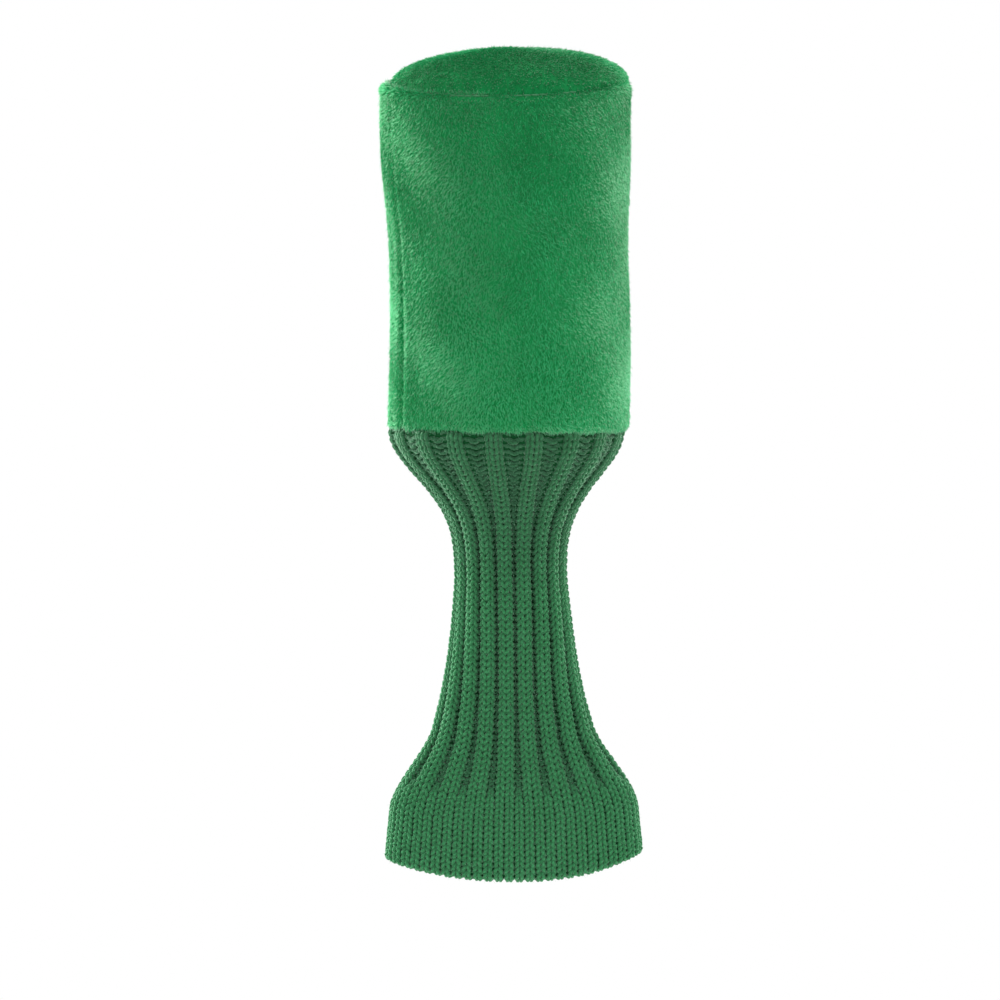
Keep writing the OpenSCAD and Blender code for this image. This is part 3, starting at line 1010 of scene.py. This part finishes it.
def make_sock():
    """The knitted sock, in stretches: the skirt and the cuff's two layers ride on the cuff, and the three
    stretches above them stay fixed in place.
    """
    depths, insets = sock_path()
    cloth = cloth_grid(depths, insets)
    rows = course_rows(depths)
    hem_row = np.argmax(depths)
    cut_depths = [THROAT_MID, WAIST_RING_MID, SKIRT_TOP, CUFF_TOP]
    row_at = np.interp(cut_depths, depths[:hem_row], np.arange(hem_row))
    cuts = [0, *row_at, hem_row + 2, len(depths)]
    stands_for = {
        "sock_shoulder": ["sock_shoulder", "sock_throat"],
        "sock_upper_neck": ["sock_upper_neck"],
        "sock_lower_neck": ["sock_waist", "sock_lower_neck"],
        "sock_skirt": ["sock_skirt"],
        "cuff_outer": ["cuff"],
        "cuff_inner": [],
    }
    bends = {
        "sock_shoulder": ("barrel", "throat", 4, 46),
        "sock_upper_neck": ("throat", "waist", 52, 102),
        "sock_lower_neck": ("waist", "cuff", 108, 158),
    }
    for k, (name, nodes) in enumerate(stands_for.items()):
        lo, hi = cuts[k], cuts[k + 1]
        chosen = rows[(rows >= lo) & (rows < hi)]
        yarn = knit(name + "_knit", cloth, depths, chosen)
        base = ground(name + "_ground", cloth, depths, max(lo, 3), min(hi, len(depths) - 2))
        pieces = [yarn, base]
        if name == "sock_shoulder":
            half_way = chosen[:-1] + 0.5 * COURSE_PITCH / CLOTH_STEP
            pieces.append(crossing_yarn("sock_shoulder_crossings", cloth, depths, half_way))
        flat = stretch_size(cloth, lo, hi)
        if nodes:
            count = int(FIBRES_PER_MM2 * flat[0] * flat[1] / MM ** 2)
            pieces.append(loose_fibres(name + "_fuzz", cloth, depths, max(lo, 6), hi, count))
        for piece in pieces:
            if name in bends:
                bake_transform(piece)
            else:
                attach(piece, "cuff")
        if nodes:
            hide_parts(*nodes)
    make_hem_thread(cloth)


def make_collar():
    """The sock's top band, turned in between the plush and the lining."""
    depths = np.full(COLLAR_ROWS, 0.0)
    z = NECK_Z + COLLAR_H - 1.2 - np.arange(COLLAR_ROWS)[:, None] * CLOTH_STEP
    angle = FRONT + np.arange(CLOTH_COLS)[None, :] * 2 * np.pi / CLOTH_COLS
    radius = COLLAR_R - YARN_R - LOOP_DEPTH
    band = np.stack(np.broadcast_arrays(radius * np.cos(angle), radius * np.sin(angle), z), -1)
    yarn = knit("sock_collar_knit", band, depths, np.array([2.5, 6.5, 10.5]))
    base = ground("sock_collar_ground", band, depths, 0, COLLAR_ROWS - 1)
    for piece in (yarn, base):
        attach(piece, "barrel")
    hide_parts("sock_collar")


def make_hem_thread(cloth):
    """One stitch to each wale links the turned-up edge to the cuff's outer layer."""
    share = FURROW_SHARE + (np.arange(WALES) + 0.5) / WALES
    edge = np.full(WALES, len(cloth) - 4.0)
    middles = lookup(cloth, edge, share)
    out = unit(lookup(outward(cloth), edge, share))
    slant = lookup(np.gradient(cloth, axis=0), edge, share) - 0.8 * out
    thread = stitches("cuff_hem_stitches", middles + 0.6 * out, slant, out, 5.0, 0.8, GREEN_THREAD)
    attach(thread, "cuff")
    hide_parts("cuff_hem_thread")


make_barrel()
make_collar()
make_sock()

# ------------------------------------------------------------------ camera, light and floor
AIM = Vector((-0.0055, 0, -0.2144))
DISTANCE = 2.5
ELEVATION = np.radians(3)


def make_camera():
    """The camera, level with the barrel's middle and looking slightly down at the object's own, far
    enough off to flatten the perspective."""
    camera = bpy.data.objects.new("camera", bpy.data.cameras.new("camera"))
    camera.data.sensor_width = 36
    camera.data.lens = 180
    back = Vector((0, -np.cos(ELEVATION), np.sin(ELEVATION)))
    camera.location = AIM + back * DISTANCE
    camera.rotation_euler = (-back).to_track_quat("-Z", "Y").to_euler()
    bpy.context.scene.collection.objects.link(camera)
    bpy.context.scene.camera = camera


def softbox(name, place, size, power):
    """A square area light that faces the object's middle."""
    light = bpy.data.lights.new(name, "AREA")
    light.size = size
    light.energy = power
    lamp = bpy.data.objects.new(name, light)
    lamp.location = place
    lamp.rotation_euler = (AIM - Vector(place)).to_track_quat("-Z", "Y").to_euler()
    bpy.context.scene.collection.objects.link(lamp)


def make_world(seen, below, above):
    """A plain white surround, evenly bright to the camera. To the object it is brighter from above."""
    world = bpy.data.worlds.new("studio")
    bpy.context.scene.world = world
    world.use_nodes = True
    tree = world.node_tree
    tree.nodes.clear()
    path = node(tree, "ShaderNodeLightPath").outputs["Is Camera Ray"]
    heading = node(tree, "ShaderNodeTexCoord").outputs["Generated"]
    rise = node(tree, "ShaderNodeSeparateXYZ", {"Vector": heading}).outputs["Z"]
    lit = node(tree, "ShaderNodeMapRange", {
        "Value": rise, "From Min": -1.0, "To Min": below, "To Max": above})
    strength = node(tree, "ShaderNodeMapRange", {"Value": path, "To Min": lit.outputs[0], "To Max": seen})
    back = node(tree, "ShaderNodeBackground", {"Color": (1, 1, 1, 1), "Strength": strength.outputs[0]})
    node(tree, "ShaderNodeOutputWorld", {"Surface": back.outputs[0]})


def make_floor():
    """A plain pale floor below the object, which hangs above it."""
    floor_z = -0.6
    half = 0.6
    mesh = bpy.data.meshes.new("floor")
    mesh.from_pydata([(-half, -half, floor_z), (half, -half, floor_z), (half, half, floor_z),
                      (-half, half, floor_z)], [], [(0, 1, 2, 3)])
    material, tree, where = new_material("matt_studio_floor")
    tone = colour_steps(tree, noise(tree, where, 200, 1.0), [(0.3, "#ececea"), (0.7, "#f2f2f0")])
    finish_surface(tree, {"Base Color": tone, "Roughness": 0.9})
    mesh.materials.append(material)
    floor = bpy.data.objects.new("floor", mesh)
    bpy.context.scene.collection.objects.link(floor)


make_camera()
make_world(seen=1.0, below=0.3, above=0.9)
softbox("side_left", (-1.1, 0.7, -0.1), 0.9, 55)
softbox("side_right", (1.1, 0.7, -0.1), 0.9, 27)
softbox("top", (0.0, 0.5, 1.3), 0.9, 6)
softbox("front", (0.2, -2.2, 0.1), 1.4, 22)
make_floor()
bpy.context.scene.view_settings.view_transform = "Standard"
